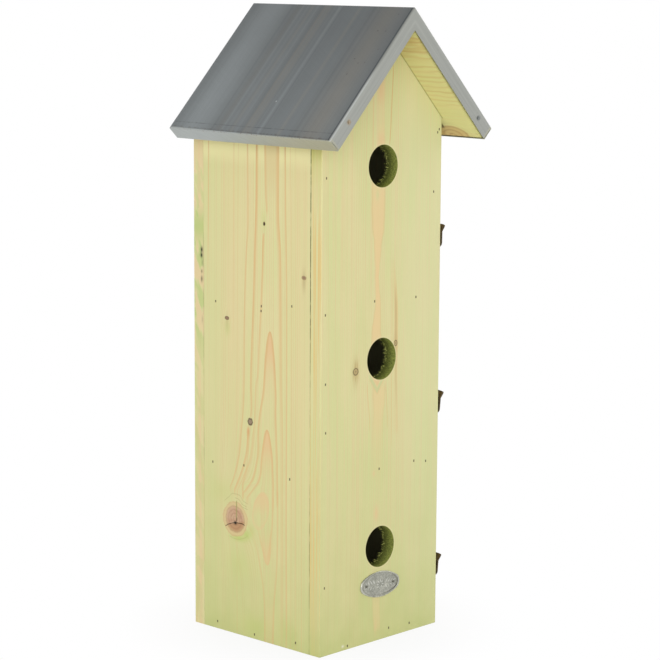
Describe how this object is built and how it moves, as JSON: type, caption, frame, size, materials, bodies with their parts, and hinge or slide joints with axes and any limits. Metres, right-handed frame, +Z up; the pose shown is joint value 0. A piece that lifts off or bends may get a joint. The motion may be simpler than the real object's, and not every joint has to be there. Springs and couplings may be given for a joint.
{
  "type": "sparrow nest box",
  "caption": "Tall timber nest tower for sparrows with stacked compartments, round front entrances, side cleaning doors on hinges, turn-button latches and a metal-clad gable roof.",
  "frame": {"origin": "centre of the flat base under the timber body", "axes": "+Z up along the height, entrances face -Y, doors and latches on the +X side"},
  "size_m": [0.1802, 0.1717, 0.4897],
  "materials": {
    "pine": "pale green-tinted softwood, satin",
    "zinc": "dull zinc sheet",
    "bronze": "antique bronze plating",
    "nail": "dull steel",
    "plate": "pressed metal"
  },
  "bodies": {
    "box": {"back_brads": "nail", "back_panel": "pine", "badge_pins": "nail", "badge_plate": "plate", "floor_board": "pine", "frame_hinge_screws": "bronze", "front_brads": "nail", "front_panel": "pine", "latch_screws": "bronze", "latch_spacers": "bronze", "left_brads": "nail", "left_side_panel": "pine", "lower_bottom_frame_leaf": "bronze", "lower_bottom_hinge_pin": "bronze", "lower_shelf": "pine", "lower_top_frame_leaf": "bronze", "lower_top_hinge_pin": "bronze", "middle_bottom_frame_leaf": "bronze", "middle_bottom_hinge_pin": "bronze", "middle_top_frame_leaf": "bronze", "middle_top_hinge_pin": "bronze", "right_rail": "pine", "roof_board_left": "pine", "roof_board_right": "pine", "roof_brads": "nail", "roof_sheet": "zinc", "upper_bottom_frame_leaf": "bronze", "upper_bottom_hinge_pin": "bronze", "upper_shelf": "pine", "upper_top_frame_leaf": "bronze", "upper_top_hinge_pin": "bronze", "verge_nails": "nail"},
    "door_lower": {"door_lower": "pine", "lower_door_hinge_screws": "bronze", "lower_bottom_door_leaf": "bronze", "lower_top_door_leaf": "bronze"},
    "door_middle": {"door_middle": "pine", "middle_door_hinge_screws": "bronze", "middle_bottom_door_leaf": "bronze", "middle_top_door_leaf": "bronze"},
    "door_upper": {"door_upper": "pine", "upper_door_hinge_screws": "bronze", "upper_bottom_door_leaf": "bronze", "upper_top_door_leaf": "bronze"},
    "latch_lower": {"latch_lower": "bronze"},
    "latch_middle": {"latch_middle": "bronze"},
    "latch_upper": {"latch_upper": "bronze"}
  },
  "joints": [
    {"name": "door_lower_hinge", "type": "hinge", "parent": "box", "child": "door_lower", "pos_m": [0.0687, 0.058, 0.0679], "axis": [0, 0, 1], "range_deg": [0, 180]},
    {"name": "door_middle_hinge", "type": "hinge", "parent": "box", "child": "door_middle", "pos_m": [0.0687, 0.058, 0.19975], "axis": [0, 0, 1], "range_deg": [0, 180]},
    {"name": "door_upper_hinge", "type": "hinge", "parent": "box", "child": "door_upper", "pos_m": [0.0687, 0.058, 0.3012], "axis": [0, 0, 1], "range_deg": [0, 180]},
    {"name": "latch_lower_turn", "type": "hinge", "parent": "box", "child": "latch_lower", "pos_m": [0.067, -0.0635, 0.042], "axis": [1, 0, 0], "continuous": true},
    {"name": "latch_middle_turn", "type": "hinge", "parent": "box", "child": "latch_middle", "pos_m": [0.067, -0.0635, 0.17425], "axis": [1, 0, 0], "continuous": true},
    {"name": "latch_upper_turn", "type": "hinge", "parent": "box", "child": "latch_upper", "pos_m": [0.067, -0.0635, 0.3065], "axis": [1, 0, 0], "continuous": true}
  ]
}
